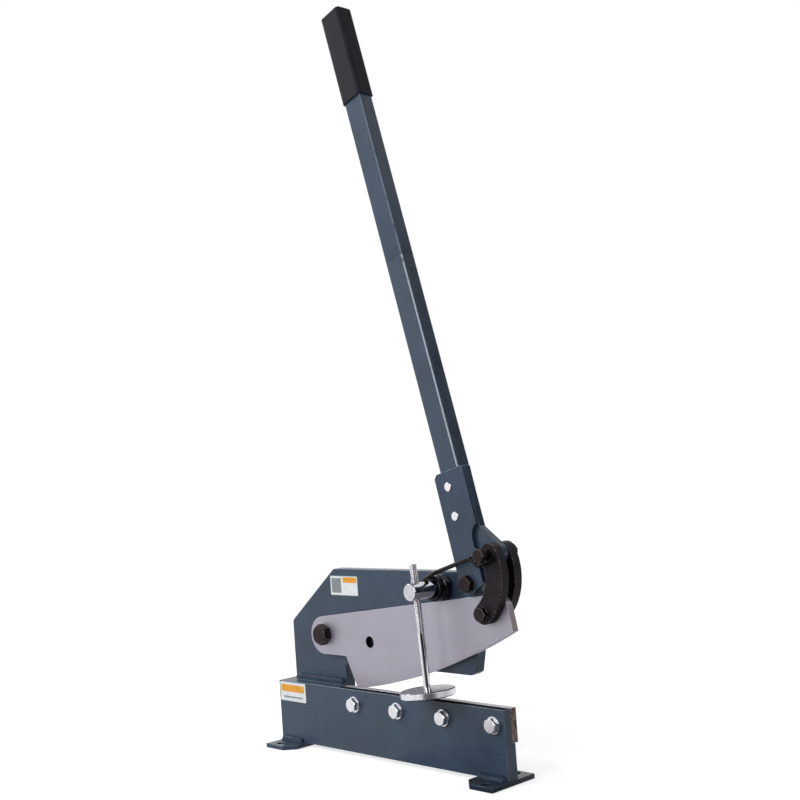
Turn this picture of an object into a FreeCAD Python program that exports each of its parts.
import FreeCAD, Part
import math
import os

# Hand lever shear for cutting sheet and bar, in millimetres.
# X runs along the base from the hinge end to the open end, Y runs from the front of the
# machine to its back, and Z is up. The origin lies on the floor, at the centre of the four
# foot bolt holes.

Vector = FreeCAD.Vector

# Clearances
side_gap = 0.3          # between flat faces that move past each other
running_fit = 0.05      # radial, round a bolt that turns
end_gap = 0.4           # between parts that only meet end to end

# Feet and base
base_length = 437.5
base_height = 85.0
base_thick = 17.0
foot_thick = 6.0
foot_length = 52.0
foot_depth = 78.0
foot_chamfer = 15.0
foot_hole_radius = 5.5
foot_hole_from_end = 20.0
foot_hole_from_edge = 11.0
foot_weld_size = 7.0

# Lower blade in its rebate at the back of the base
blade_thick = 10.0
lower_blade_length = 305.0
lower_blade_height = 41.5
blade_seat_cover = 12.0     # base metal left in front of the lower blade
blade_bolt_from_heel_end = 33.0
blade_bolt_from_end = 18.0
blade_bolt_drop = 19.5
blade_bolt_count = 4

# Body plate and the block that carries it
plate_thick = 16.0
plate_top = 251.0
plate_shoulder_z = 173.5
plate_shoulder_run = 100.5
plate_drop = 45.0           # overlap of the plate and its block below the base's top
plate_arm_z = 120.0
spacer_from_blade = 14.25   # between the block and the end of the lower blade
throat_from_spacer = 4.5
plate_low_before_lever = 13.5
plate_high_past_lever = 16.0
plate_corner = 8.0
plate_weld_size = 6.0

# Upper blade
pivot_from_lower_blade = 47.25
blade_pivot_z = 159.0
blade_eye_radius = 26.5
blade_eye_shift_x = -4.5
blade_eye_shift_z = -2.0
blade_top_below_lever = 16.9    # from the lever pivot down to the blade's top edge
blade_past_base = 4.75
blade_tip_z = 181.0
blade_end_lean = 11.0       # degrees
blade_end_corner = 16.0
belly_before_tip = 135.5
blade_belly_z = 124.5
heel_over_lower_blade = 16.25
blade_heel_z = 87.5
heel_lean = 18.5            # the heel's edge leans this far back towards the hinge
blade_neck_corner = 5.0
blade_hole_radius = 8.0
blade_hole_from_pivot = 94.5
blade_hole_drop = 6.0       # its centre below the hinge's
blade_stroke = 15.1         # degrees

# Lever head
lever_pivot_from_end = 58.75
lever_pivot_z = 238.0
head_lean = 13.3            # degrees, its top towards the hinge end
head_plate_thick = 6.0
head_left = -14.5
head_right = 37.0
head_narrow = 24.8
head_top = 144.0
head_bottom = -13.5
head_corner = 5.0
head_notch_radius = 20.7
head_notch_v = 50.0
stem_left = 28.0
arm_shoulder_v = 62.0
arm_corner_v = 64.5
arm_eye_radius = 13.0
lever_stroke = 93.1         # degrees

# Handle
handle_lean = 14.5          # degrees
handle_seat_u = 10.4
handle_seat_v = 64.0
handle_width = 34.0
handle_depth = 23.0
handle_wall = 2.0
handle_corner = 3.0
lower_tube_length = 376.0
upper_tube_length = 374.0
joint_tube_length = 120.0
grip_length = 137.0
grip_wall = 2.5
grip_end = 3.5
handle_bolt_u = 6.2
handle_bolt_v = (85.5, 123.7)
handle_bolt_radius = 6.0

# Links, with their pins' places measured from the lever pivot
link_top_past_lever = 44.0
link_top_rise = 38.0
link_low_past_lever = 28.0
link_low_drop = 35.0
link_thick = 13.0
link_width = 27.0
link_bow = 13.0
link_spacing = 1.2          # between the back link and the blade

# Hexagon bolts: shank radius, across flats, head height
pivot_shank = 8.0
pivot_flats = 26.0
pivot_head = 12.0
lever_shank = 7.0
lever_flats = 19.5
lever_head = 8.5
link_shank = 5.0
link_flats = 17.0
link_head = 6.5
nut_height = 10.0
link_nut_height = 8.0
handle_bolt_flats = 19.0
handle_bolt_head = 7.5
handle_bolt_proud = 1.5
blade_bolt_shank = 5.0
blade_bolt_flats = 17.0
blade_bolt_head = 6.4
washer_radius = 10.7
washer_thick = 2.0
link_washer_radius = 9.5
link_washer_thick = 1.5
link_bolt_standoff = 13.5   # bare shank in front of the front link, for the spring

# Hold-down
post_before_lever = 58.8
post_z = 231.1
post_radius = 11.0
post_front = -38.5
post_spigot_radius = 7.0
rod_y = -26.5
rod_radius = 5.0
rod_lean = 4.0              # degrees
rod_above_post = 34.5
rod_below_post = 121.5
disc_radius = 35.2
disc_thick = 8.8
disc_edge = 1.0

# Return spring
wire_radius = 2.8
coil_radius = 14.1
coil_turns = 2
coil_pitch = 5.8
spring_reach = 121.0
spring_y = -5.5

# Places that follow from the sizes above
base_top = foot_thick + base_height
base_end_x = base_length / 2
base_front = -base_thick / 2
base_back = base_thick / 2
lower_blade_front = base_front + blade_seat_cover
lower_blade_back = lower_blade_front + blade_thick
lower_blade_left_x = base_end_x - lower_blade_length
blade_bolt_run = lower_blade_length - blade_bolt_from_end - blade_bolt_from_heel_end
blade_bolt_spacing = blade_bolt_run / (blade_bolt_count - 1)
spacer_end_x = lower_blade_left_x - spacer_from_blade
throat_x = spacer_end_x - throat_from_spacer
blade_pivot_x = lower_blade_left_x - pivot_from_lower_blade
blade_hole_x = blade_pivot_x + blade_hole_from_pivot
blade_hole_z = blade_pivot_z - blade_hole_drop
blade_heel_x = lower_blade_left_x + heel_over_lower_blade
blade_heel_top_x = blade_heel_x - heel_lean
blade_tip_x = base_end_x + blade_past_base
blade_belly_x = blade_tip_x - belly_before_tip
lever_pivot_x = base_end_x - lever_pivot_from_end
link_top_x = lever_pivot_x + link_top_past_lever
link_top_z = lever_pivot_z + link_top_rise
link_low_x = lever_pivot_x + link_low_past_lever
link_low_z = lever_pivot_z - link_low_drop
blade_eye_x = blade_pivot_x + blade_eye_shift_x
blade_eye_z = blade_pivot_z + blade_eye_shift_z
blade_top_run = lever_pivot_x - blade_eye_x
blade_top_rise = lever_pivot_z - blade_top_below_lever - blade_eye_z
blade_top_slope = math.degrees(math.atan2(blade_top_rise, blade_top_run)
                               - math.asin(blade_eye_radius
                                           / math.hypot(blade_top_run, blade_top_rise)))
post_x = lever_pivot_x - post_before_lever
plate_right_low_x = lever_pivot_x - plate_low_before_lever
plate_right_high_x = lever_pivot_x + plate_high_past_lever
upper_blade_front = lower_blade_back + side_gap
upper_blade_back = upper_blade_front + blade_thick
plate_front = upper_blade_back + side_gap
plate_back = plate_front + plate_thick
head_front = upper_blade_front - head_plate_thick
front_link_back = upper_blade_front - side_gap
front_link_front = front_link_back - link_thick
back_link_front = upper_blade_back + link_spacing
back_link_back = back_link_front + link_thick
blade_bolt_x = [base_end_x - blade_bolt_from_end - step * blade_bolt_spacing
                for step in reversed(range(blade_bolt_count))]
blade_bolt_z = base_top - blade_bolt_drop
coil_back_y = plate_front - side_gap - wire_radius


def polar(angle, radius=1.0):
    """Point in the side view at an angle in degrees from +X towards +Z."""
    return radius * math.cos(math.radians(angle)), radius * math.sin(math.radians(angle))


def head_point(u, v):
    """Side view point in the lever head: u across it, v up along it, from the lever pivot."""
    across = polar(head_lean)
    return (lever_pivot_x + u * across[0] - v * across[1],
            lever_pivot_z + u * across[1] + v * across[0])


def at(point, y):
    return Vector(point[0], y, point[1])


def line(start, end, y):
    return Part.LineSegment(at(start, y), at(end, y)).toShape()


def arc(start, middle, end, y):
    return Part.Arc(at(start, y), at(middle, y), at(end, y)).toShape()


def slab(edges, depth):
    """Side view outline pushed back along Y."""
    return Part.Face(Part.Wire(edges)).extrude(Vector(0, depth, 0))


def rounded_edges(corners, y):
    """Edges of a closed outline from corners (x, z, radius)."""
    trimmed = []
    count = len(corners)
    for index, (x, z, radius) in enumerate(corners):
        before = corners[index - 1]
        after = corners[(index + 1) % count]
        if radius == 0:
            trimmed.append(((x, z), None, (x, z)))
            continue
        to_before = Vector(before[0] - x, before[1] - z, 0).normalize()
        to_after = Vector(after[0] - x, after[1] - z, 0).normalize()
        half = to_before.getAngle(to_after) / 2
        reach = radius / math.tan(half)
        bisector = (to_before + to_after).normalize()
        inset = radius / math.sin(half) - radius
        trimmed.append(((x + to_before.x * reach, z + to_before.y * reach),
                        (x + bisector.x * inset, z + bisector.y * inset),
                        (x + to_after.x * reach, z + to_after.y * reach)))
    edges = []
    for index, (start, middle, end) in enumerate(trimmed):
        if middle is not None:
            edges.append(arc(start, middle, end, y))
        following = trimmed[(index + 1) % count][0]
        edges.append(line(end, following, y))
    return edges


def rounded_slab(corners, y, depth):
    return slab(rounded_edges(corners, y), depth)


def box(low, high):
    size = [high[axis] - low[axis] for axis in range(3)]
    return Part.makeBox(size[0], size[1], size[2], Vector(*low))


def rod_along_y(point, radius, front, back):
    return Part.makeCylinder(radius, back - front, at(point, front), Vector(0, 1, 0))


def pin_hole(point, shank, front, back):
    return rod_along_y(point, shank + running_fit, front - 1, back + 1)


def hexagon(point, flats, front, back, turn, chamfer_front=True):
    """Hexagon prism along Y with its outer rim turned down."""
    corner_radius = flats / math.sqrt(3)
    corners = []
    for side in range(6):
        dx, dz = polar(turn + 60 * side, corner_radius)
        corners.append(at((point[0] + dx, point[1] + dz), front))
    corners.append(corners[0])
    prism = Part.Face(Part.makePolygon(corners)).extrude(Vector(0, back - front, 0))
    height = back - front
    rim = 0.475 * flats
    drop = (corner_radius + 0.2 - rim) * math.tan(math.radians(30))
    profile = [Vector(0, 0, 0), Vector(rim, 0, 0), Vector(corner_radius + 0.2, drop, 0),
               Vector(corner_radius + 0.2, height, 0), Vector(0, height, 0), Vector(0, 0, 0)]
    turned = Part.Face(Part.makePolygon(profile)).revolve(Vector(0, 0, 0), Vector(0, 1, 0), 360)
    if not chamfer_front:
        turned.rotate(Vector(0, height / 2, 0), Vector(1, 0, 0), 180)
    turned.translate(at(point, front))
    return prism.common(turned)


def bolt(point, shank, flats, head_height, head_back, tip, turn=0.0):
    head = hexagon(point, flats, head_back - head_height, head_back, turn)
    return head.fuse(rod_along_y(point, shank, head_back, tip)).removeSplitter()


def nut(point, shank, flats, front, back, turn=0.0):
    blank = hexagon(point, flats, front, back, turn, chamfer_front=False)
    return blank.cut(rod_along_y(point, shank + running_fit, front - 1, back + 1))


def make_foot(side):
    """Foot plate under one end of the base; side is -1 at the hinge end, +1 at the open end."""
    outer = side * base_end_x
    inner = outer - side * foot_length
    half = foot_depth / 2
    corners = [(outer, -half), (inner + side * foot_chamfer, -half), (inner, -half + foot_chamfer),
               (inner, half - foot_chamfer), (inner + side * foot_chamfer, half), (outer, half)]
    points = [Vector(x, y, 0) for x, y in corners]
    points.append(points[0])
    foot = Part.Face(Part.makePolygon(points)).extrude(Vector(0, 0, foot_thick))
    hole_x = outer - side * foot_hole_from_end
    for hole_y in (-half + foot_hole_from_edge, half - foot_hole_from_edge):
        foot = foot.cut(Part.makeCylinder(foot_hole_radius, foot_thick + 2, Vector(hole_x, hole_y, -1)))
    return foot


def make_foot_weld(side):
    """Weld beads in the corner between the base bar and a foot, front and back."""
    outer = side * base_end_x
    inner = outer - side * foot_length
    start = min(outer, inner) + 2
    run = foot_length - 4
    beads = []
    for face_y, out in ((base_front, -1), (base_back, 1)):
        size = foot_weld_size * out
        low = Vector(start, face_y, foot_thick)
        edges = [Part.LineSegment(low, low + Vector(0, 0, foot_weld_size)).toShape(),
                 Part.Arc(low + Vector(0, 0, foot_weld_size),
                          low + Vector(0, size * 0.62, foot_weld_size * 0.62),
                          low + Vector(0, size, 0)).toShape(),
                 Part.LineSegment(low + Vector(0, size, 0), low).toShape()]
        beads.append(Part.Face(Part.Wire(edges)).extrude(Vector(run, 0, 0)))
    return Part.makeCompound(beads)


def make_base_bar():
    bar = box((-base_end_x, base_front, foot_thick), (base_end_x, base_back, base_top))
    seat = box((lower_blade_left_x - end_gap, lower_blade_front, base_top - lower_blade_height),
               (base_end_x + 1, base_back + 1, base_top + 1))
    bar = bar.cut(seat)
    for x in blade_bolt_x:
        bar = bar.cut(pin_hole((x, blade_bolt_z), blade_bolt_shank, base_front, base_back))
    return bar


def make_lower_blade():
    blade = box((lower_blade_left_x, lower_blade_front, base_top - lower_blade_height),
                (base_end_x, lower_blade_back, base_top))
    for x in blade_bolt_x:
        blade = blade.cut(pin_hole((x, blade_bolt_z), blade_bolt_shank,
                                   lower_blade_front, lower_blade_back))
    return blade


def make_blade_bolt(x):
    """Plated bolt and washer that hold the lower blade to the base."""
    point = (x, blade_bolt_z)
    head_back = base_front - washer_thick
    screw = bolt(point, blade_bolt_shank, blade_bolt_flats, blade_bolt_head, head_back,
                 lower_blade_back - 1, turn=20)
    washer = rod_along_y(point, washer_radius, head_back, base_front)
    return screw.fuse(washer).removeSplitter()


def make_spacer_block():
    return box((-base_end_x, base_back, base_top - plate_drop), (spacer_end_x, plate_front, base_top))


def make_body_plate():
    """Upright plate whose arm reaches over the cut, with the throat open below the arm."""
    bottom = base_top - plate_drop
    corners = [(-base_end_x, bottom, 0), (-base_end_x, plate_shoulder_z, plate_corner),
               (-base_end_x + plate_shoulder_run, plate_top, plate_corner),
               (plate_right_high_x, plate_top, plate_corner * 1.5),
               (plate_right_low_x, plate_arm_z + 4, 3), (plate_right_low_x - 8, plate_arm_z, 3),
               (throat_x, plate_arm_z, plate_corner), (throat_x, bottom, 0)]
    plate = rounded_slab(corners, plate_front, plate_thick)
    for point, shank in (((blade_pivot_x, blade_pivot_z), pivot_shank),
                         ((lever_pivot_x, lever_pivot_z), lever_shank),
                         ((post_x, post_z), post_spigot_radius)):
        plate = plate.cut(pin_hole(point, shank, plate_front, plate_back))
    return plate


def make_plate_weld():
    """Bead between the block's top and the front of the body plate."""
    start = Vector(-base_end_x + 3, plate_front, base_top)
    size = plate_weld_size
    edges = [Part.LineSegment(start, start + Vector(0, 0, size)).toShape(),
             Part.Arc(start + Vector(0, 0, size), start + Vector(0, -0.62 * size, 0.62 * size),
                      start + Vector(0, -size, 0)).toShape(),
             Part.LineSegment(start + Vector(0, -size, 0), start).toShape()]
    return Part.Face(Part.Wire(edges)).extrude(Vector(throat_x - 2 + base_end_x - 3, 0, 0))


def make_upper_blade():
    """Blade with a hinge eye, a curved cutting edge and a heel that stays behind the lower blade."""
    y = upper_blade_front
    eye = (blade_eye_x, blade_eye_z)
    up = polar(90 + blade_top_slope, blade_eye_radius)
    top_start = (eye[0] + up[0], eye[1] + up[1])
    left = (eye[0] - blade_eye_radius, eye[1])
    neck_z = eye[1] - blade_eye_radius
    neck_start = (eye[0], neck_z)
    slope = math.tan(math.radians(blade_top_slope))
    lean = math.tan(math.radians(blade_end_lean))
    rise = (top_start[1] + slope * (blade_tip_x - top_start[0]) - blade_tip_z) / (1 + slope * lean)
    end_top = (blade_tip_x - lean * rise, blade_tip_z + rise)
    along_top = polar(180 + blade_top_slope)
    down_end = polar(-90 + blade_end_lean)
    half = math.radians(90 - blade_end_lean + blade_top_slope) / 2
    reach = blade_end_corner / math.tan(half)
    corner_start = (end_top[0] + along_top[0] * reach, end_top[1] + along_top[1] * reach)
    corner_end = (end_top[0] + down_end[0] * reach, end_top[1] + down_end[1] * reach)
    inwards = Vector(along_top[0] + down_end[0], along_top[1] + down_end[1], 0).normalize()
    inset = blade_end_corner / math.sin(half) - blade_end_corner
    corner_middle = (end_top[0] + inwards.x * inset, end_top[1] + inwards.y * inset)
    tip = (blade_tip_x, blade_tip_z)
    heel = (blade_heel_x, blade_heel_z)
    heel_top = (blade_heel_top_x, neck_z - blade_neck_corner)
    neck_end = (blade_heel_top_x - blade_neck_corner, neck_z)
    neck_turn = blade_neck_corner * (1 - math.sqrt(0.5))
    neck_middle = (blade_heel_top_x - neck_turn, neck_z - neck_turn)
    edges = [arc(neck_start, left, top_start, y), line(top_start, corner_start, y),
             arc(corner_start, corner_middle, corner_end, y), line(corner_end, tip, y),
             arc(tip, (blade_belly_x, blade_belly_z), heel, y), line(heel, heel_top, y),
             arc(heel_top, neck_middle, neck_end, y), line(neck_end, neck_start, y)]
    blade = slab(edges, blade_thick)
    blade = blade.cut(pin_hole((blade_pivot_x, blade_pivot_z), pivot_shank,
                               upper_blade_front, upper_blade_back))
    blade = blade.cut(rod_along_y((blade_hole_x, blade_hole_z), blade_hole_radius,
                                  upper_blade_front - 1, upper_blade_back + 1))
    return blade.cut(pin_hole((link_low_x, link_low_z), link_shank,
                              upper_blade_front, upper_blade_back))


def head_outline(corners, y):
    return rounded_edges([head_point(u, v) + (radius,) for u, v, radius in corners], y)


def make_lever_front_plate():
    """Front cheek of the lever head, narrowed beside the links by a round notch."""
    corners = [(head_left, head_bottom + 7, 0), (head_left + 7, head_bottom, 0),
               (4, head_bottom, 0), (head_narrow, -3.5, 2), (head_narrow, head_notch_v, 0),
               (head_right, head_notch_v, 0), (head_right, head_top, 2),
               (head_left + head_corner, head_top, 0), (head_left, head_top - head_corner, 0)]
    plate = slab(head_outline(corners, head_front), head_plate_thick)
    notch_centre = head_point(head_narrow + head_notch_radius, head_notch_v)
    plate = plate.cut(rod_along_y(notch_centre, head_notch_radius, head_front - 1, upper_blade_front + 1))
    plate = plate.cut(pin_hole((lever_pivot_x, lever_pivot_z), lever_shank, head_front, upper_blade_front))
    for v in handle_bolt_v:
        plate = plate.cut(pin_hole(head_point(handle_bolt_u, v), handle_bolt_radius,
                                   head_front, upper_blade_front))
    return plate


def make_lever_arm():
    """Thick arm between the links: hinge end, eye for the links, and a stem beside the handle."""
    y = upper_blade_front
    corners = [(head_left, head_bottom + 7, 0), (head_left + 7, head_bottom, 0), (8, head_bottom, 0),
               (head_right, 6, 0), (head_right, head_top, 2), (stem_left, head_top, 0),
               (stem_left, arm_shoulder_v, 3), (head_left, arm_shoulder_v, 2)]
    arm = slab(head_outline(corners, y), blade_thick)
    eye_u, eye_v = link_eye_in_head()
    outer = [(head_right - 2, arm_corner_v), tangent_touch((head_right, arm_corner_v), (eye_u, eye_v),
                                                           arm_eye_radius, 1)]
    inner = [tangent_touch((8, head_bottom), (eye_u, eye_v), arm_eye_radius, -1), (8, head_bottom)]
    web_corners = [(head_right, arm_corner_v, 0), outer[1] + (0,), (eye_u, eye_v, 0),
                   inner[0] + (0,), inner[1] + (0,)]
    web = slab(head_outline(web_corners, y), blade_thick)
    eye = rod_along_y((link_top_x, link_top_z), arm_eye_radius, y, y + blade_thick)
    arm = arm.fuse([web, eye]).removeSplitter()
    arm = arm.cut(pin_hole((lever_pivot_x, lever_pivot_z), lever_shank, y, y + blade_thick))
    return arm.cut(pin_hole((link_top_x, link_top_z), link_shank, y, y + blade_thick))


def link_eye_in_head():
    """Upper link pin in the lever head's own directions."""
    across = polar(head_lean)
    dx = link_top_x - lever_pivot_x
    dz = link_top_z - lever_pivot_z
    return dx * across[0] + dz * across[1], dz * across[0] - dx * across[1]


def tangent_touch(point, centre, radius, side):
    """Where the line from a point touches a circle; side +1 is the far side going clockwise."""
    dx = centre[0] - point[0]
    dy = centre[1] - point[1]
    distance = math.hypot(dx, dy)
    bearing = math.atan2(-dy, -dx)
    swing = math.acos(radius / distance)
    angle = bearing - side * swing
    return centre[0] + radius * math.cos(angle), centre[1] + radius * math.sin(angle)


def handle_placement(distance):
    """Place on the handle's axis, a distance up from its lower end."""
    foot = head_point(handle_seat_u, handle_seat_v)
    along = polar(90 + handle_lean, distance)
    middle = upper_blade_front + handle_depth / 2
    return FreeCAD.Placement(Vector(foot[0] + along[0], middle, foot[1] + along[1]),
                             FreeCAD.Rotation(Vector(0, 1, 0), -handle_lean))


def rounded_bar(width, depth, corner, length):
    """Upright bar with a rounded rectangular section, standing on the origin."""
    bar = Part.makeBox(width, depth, length, Vector(-width / 2, -depth / 2, 0))
    uprights = [edge for edge in bar.Edges
                if abs(edge.tangentAt(edge.FirstParameter).z) > 0.99]
    return bar.makeFillet(corner, uprights)


def make_tube(width, depth, corner, wall, start, length):
    outer = rounded_bar(width, depth, corner, length)
    inner = rounded_bar(width - 2 * wall, depth - 2 * wall, max(corner - wall, 0.8), length + 2)
    inner.translate(Vector(0, 0, -1))
    tube = outer.cut(inner)
    tube.Placement = handle_placement(start)
    return tube


def make_lower_tube():
    tube = make_tube(handle_width, handle_depth, handle_corner, handle_wall, 0, lower_tube_length)
    for v in handle_bolt_v:
        tube = tube.cut(pin_hole(head_point(handle_bolt_u, v), handle_bolt_radius,
                                 upper_blade_front, upper_blade_front + handle_depth))
    return tube


def make_upper_tube():
    return make_tube(handle_width, handle_depth, handle_corner, handle_wall,
                     lower_tube_length + end_gap, upper_tube_length - end_gap)


def make_joint_tube():
    """Inner tube that joins the handle's two lengths."""
    inset = 2 * (handle_wall + 0.15)
    return make_tube(handle_width - inset, handle_depth - inset, 1.5, handle_wall,
                     lower_tube_length - joint_tube_length / 2, joint_tube_length)


def make_grip():
    """Rubber sleeve with a closed end over the top of the handle."""
    tube_end = lower_tube_length + upper_tube_length
    sleeve = rounded_bar(handle_width + 2 * grip_wall, handle_depth + 2 * grip_wall,
                         handle_corner + grip_wall, grip_length)
    rim = [edge for edge in sleeve.Edges if edge.CenterOfMass.z > grip_length - 0.01]
    sleeve = sleeve.makeFillet(1.6, rim)
    hollow = rounded_bar(handle_width + 0.1, handle_depth + 0.1, handle_corner, grip_length)
    hollow.translate(Vector(0, 0, -grip_end))
    sleeve = sleeve.cut(hollow)
    sleeve.Placement = handle_placement(tube_end + grip_end - grip_length)
    return sleeve


def make_handle_bolt(v):
    """Bolt from behind the handle through the front plate, its end just proud of it."""
    point = head_point(handle_bolt_u, v)
    head_front_y = upper_blade_front + handle_depth
    head = hexagon(point, handle_bolt_flats, head_front_y, head_front_y + handle_bolt_head,
                   head_lean, chamfer_front=False)
    tip_y = head_front - handle_bolt_proud
    shank = rod_along_y(point, handle_bolt_radius, tip_y, head_front_y)
    tip = [edge for edge in shank.Edges if abs(edge.CenterOfMass.y - tip_y) < 0.01]
    shank = shank.makeChamfer(0.8, tip)
    return shank.fuse(head).removeSplitter()


def make_link(front):
    """Bowed link: a flat bar of even width whose middle line is an arc between its pins."""
    top = Vector(link_top_x, 0, link_top_z)
    low = Vector(link_low_x, 0, link_low_z)
    chord = top - low
    half_chord = chord.Length / 2
    bow_radius = (half_chord ** 2 + link_bow ** 2) / (2 * link_bow)
    outward = Vector(chord.z, 0, -chord.x).normalize()
    centre = (top + low) * 0.5 - outward * (bow_radius - link_bow)
    half_width = link_width / 2

    def ring_point(towards, radius):
        ray = Vector(towards.x - centre.x, 0, towards.z - centre.z).normalize()
        return (centre.x + ray.x * radius, centre.z + ray.z * radius)

    def cap_middle(pin, sign):
        tangent = (pin - centre).normalize().cross(Vector(0, 1, 0)) * sign
        return (pin.x + tangent.x * half_width, pin.z + tangent.z * half_width)

    bulge = centre + outward * bow_radius
    outer = bow_radius + half_width
    inner = bow_radius - half_width
    upward = (top - centre).normalize().cross(Vector(0, 1, 0))
    sign = 1 if upward.dot(chord) > 0 else -1
    edges = [arc(ring_point(low, outer), ring_point(bulge, outer), ring_point(top, outer), front),
             arc(ring_point(top, outer), cap_middle(top, sign), ring_point(top, inner), front),
             arc(ring_point(top, inner), ring_point(bulge, inner), ring_point(low, inner), front),
             arc(ring_point(low, inner), cap_middle(low, -sign), ring_point(low, outer), front)]
    link = slab(edges, link_thick)
    for pin in (top, low):
        link = link.cut(pin_hole((pin.x, pin.z), link_shank, front, front + link_thick))
    return link


def make_hold_down_post():
    """Cross post: round bar with a spigot through the body plate and a hole for the rod."""
    point = (post_x, post_z)
    post = rod_along_y(point, post_radius, post_front, plate_front)
    rim = [edge for edge in post.Edges if abs(edge.CenterOfMass.y - post_front) < 0.01]
    post = post.makeChamfer(0.8, rim)
    post = post.fuse(rod_along_y(point, post_spigot_radius, plate_front, plate_back + nut_height + 2))
    bore = Part.makeCylinder(rod_radius + running_fit, 4 * post_radius,
                             Vector(post_x, rod_y, post_z) - rod_direction() * 2 * post_radius,
                             rod_direction())
    return post.removeSplitter().cut(bore)


def rod_direction():
    """Unit vector up the hold-down rod."""
    up = polar(90 + rod_lean)
    return Vector(up[0], 0, up[1])


def make_hold_down_rod():
    crossing = Vector(post_x, rod_y, post_z)
    rod = Part.makeCylinder(rod_radius, rod_above_post + rod_below_post,
                            crossing - rod_direction() * rod_below_post, rod_direction())
    top_centre = crossing + rod_direction() * rod_above_post
    rim = [edge for edge in rod.Edges if (edge.CenterOfMass - top_centre).Length < 0.1]
    return rod.makeChamfer(0.8, rim)


def make_hold_down_disc():
    """Pressure disc on the end of the rod."""
    top_centre = Vector(post_x, rod_y, post_z) - rod_direction() * rod_below_post
    disc = Part.makeCylinder(disc_radius, disc_thick, top_centre, rod_direction() * -1)
    return disc.makeChamfer(disc_edge, [edge for edge in disc.Edges if edge.Closed])


def make_return_spring():
    """Fixed turns of the spring round the post, against the body plate."""
    helix = Part.makeHelix(coil_pitch, coil_pitch * coil_turns, coil_radius)
    profile = Part.Wire(Part.makeCircle(wire_radius - 0.02, Vector(coil_radius, 0, 0), Vector(0, 1, 0)))
    coil = Part.Wire(helix).makePipeShell([profile], True, True)
    coil.rotate(Vector(0, 0, 0), Vector(1, 0, 0), 90)
    coil.translate(Vector(post_x, coil_back_y, post_z))
    return coil


def make_spring_arm():
    """Front turn of the spring, and the arm that runs to the upper link bolt and under it."""
    ring_y = coil_back_y - coil_pitch * coil_turns - 2 * wire_radius - side_gap
    centre = Vector(post_x, ring_y, post_z)
    bearing = math.degrees(math.atan2(link_top_z - post_z, link_top_x - post_x))
    pin_reach = math.hypot(link_top_z - post_z, link_top_x - post_x)

    def ring(angle, forward=0.0, radius=coil_radius):
        dx, dz = polar(angle, radius)
        return centre + Vector(dx, -forward, dz)

    def reach(along, aside, y):
        dx, dz = polar(bearing, along)
        sx, sz = polar(bearing + 90, aside)
        return Vector(post_x + dx + sx, y, post_z + dz + sz)

    forward = ring_y - spring_y
    under = -(link_shank + wire_radius + 0.6)
    leave = -130.0          # degrees, where the front turn starts to wind forward
    quarter = (270 + leave - bearing) / 4
    outer = coil_radius / math.cos(math.radians(quarter))
    turn = Part.Arc(ring(110), ring(-10), ring(leave)).toShape()
    route = [ring(leave), ring(leave - quarter, 0, outer),
             ring(leave - 3 * quarter, 0.72 * forward, outer),
             reach(20, coil_radius - 0.3, spring_y), reach(pin_reach - 24.5, 5.8, spring_y),
             reach(pin_reach - 17, under, spring_y), reach(spring_reach, under, spring_y)]
    arm = rounded_path(route, [13, 13, 60, 5, 5])
    return sweep_wire([turn] + arm)


def rounded_path(points, radii):
    """Edges of a bent wire's centre line: straight runs with an arc of its own radius at each bend."""
    edges = []
    at = points[0]
    for corner, ahead, radius in zip(points[1:-1], points[2:], radii):
        came = (corner - at).normalize()
        goes = (ahead - corner).normalize()
        half = came.getAngle(goes) / 2
        cut = radius * math.tan(half)
        first = corner - came * cut
        last = corner + goes * cut
        inward = (goes - came).normalize()
        middle = corner + inward * (radius / math.cos(half) - radius)
        edges.append(Part.makeLine(at, first))
        edges.append(Part.Arc(first, middle, last).toShape())
        at = last
    edges.append(Part.makeLine(at, points[-1]))
    return edges


def sweep_wire(edges):
    """Round wire along a path of edges."""
    path = Part.Wire(edges)
    start = edges[0].valueAt(edges[0].FirstParameter)
    tangent = edges[0].tangentAt(edges[0].FirstParameter)
    profile = Part.Wire(Part.makeCircle(wire_radius, start, tangent))
    return path.makePipeShell([profile], True, True)


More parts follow.
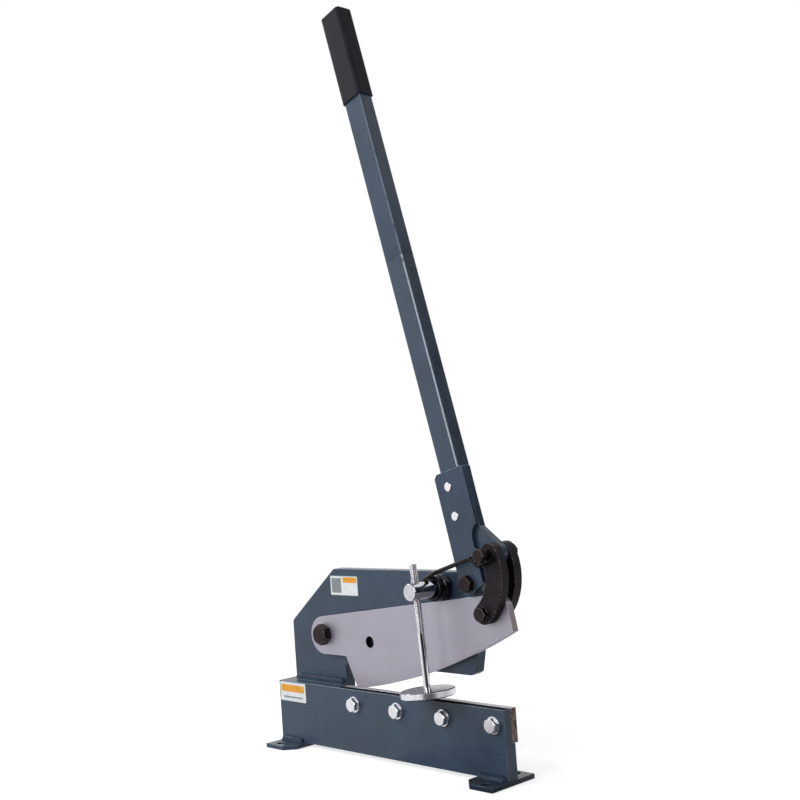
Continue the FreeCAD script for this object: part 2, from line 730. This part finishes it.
def build_parts():
    blade_pivot = (blade_pivot_x, blade_pivot_z)
    lever_pivot = (lever_pivot_x, lever_pivot_z)
    link_top = (link_top_x, link_top_z)
    link_low = (link_low_x, link_low_z)
    post = (post_x, post_z)
    parts = {
        "base_bar": make_base_bar(),
        "left_foot": make_foot(-1),
        "right_foot": make_foot(1),
        "left_foot_weld": make_foot_weld(-1),
        "right_foot_weld": make_foot_weld(1),
        "spacer_block": make_spacer_block(),
        "body_plate": make_body_plate(),
        "plate_weld": make_plate_weld(),
        "lower_blade": make_lower_blade(),
        "upper_blade": make_upper_blade(),
        "blade_pivot_bolt": bolt(blade_pivot, pivot_shank, pivot_flats, pivot_head,
                                 front_link_back, plate_back + nut_height + 3, turn=40),
        "blade_pivot_nut": nut(blade_pivot, pivot_shank, pivot_flats, plate_back,
                               plate_back + nut_height),
        "lever_pivot_bolt": bolt(lever_pivot, lever_shank, lever_flats, lever_head,
                                 head_front - side_gap, plate_back + nut_height + 3, turn=20),
        "lever_pivot_nut": nut(lever_pivot, lever_shank, lever_flats, plate_back,
                               plate_back + nut_height),
        "lever_front_plate": make_lever_front_plate(),
        "lever_arm": make_lever_arm(),
        "lower_tube": make_lower_tube(),
        "upper_tube": make_upper_tube(),
        "joint_tube": make_joint_tube(),
        "handle_grip": make_grip(),
        "front_link": make_link(front_link_front),
        "back_link": make_link(back_link_front),
        "link_top_bolt": bolt(link_top, link_shank, link_flats, link_head,
                              front_link_front - link_bolt_standoff,
                              back_link_back + side_gap + link_nut_height + 2, turn=54),
        "link_top_nut": nut(link_top, link_shank, link_flats, back_link_back + side_gap,
                            back_link_back + side_gap + link_nut_height, turn=15),
        "link_low_bolt": bolt(link_low, link_shank, link_flats, link_head,
                              front_link_front - link_washer_thick, front_link_back).fuse(
            rod_along_y(link_low, link_washer_radius, front_link_front - link_washer_thick,
                        front_link_front)).removeSplitter(),
        "link_low_nut": rod_along_y(link_low, link_shank, back_link_front, back_link_back).fuse(
            hexagon(link_low, link_flats, back_link_back, back_link_back + link_nut_height, 25,
                    chamfer_front=False)).removeSplitter(),
        "hold_down_post": make_hold_down_post(),
        "hold_down_nut": nut(post, post_spigot_radius, lever_flats, plate_back,
                             plate_back + nut_height),
        "hold_down_rod": make_hold_down_rod(),
        "hold_down_disc": make_hold_down_disc(),
        "return_spring": make_return_spring(),
        "spring_arm": make_spring_arm(),
    }
    for number, x in enumerate(blade_bolt_x, start=1):
        parts[f"blade_bolt_{number}"] = make_blade_bolt(x)
    for number, v in enumerate(handle_bolt_v, start=1):
        parts[f"handle_bolt_{number}"] = make_handle_bolt(v)
    return parts


os.makedirs("parts", exist_ok=True)
for name, shape in build_parts().items():
    shape.exportStep(f"parts/{name}.step")
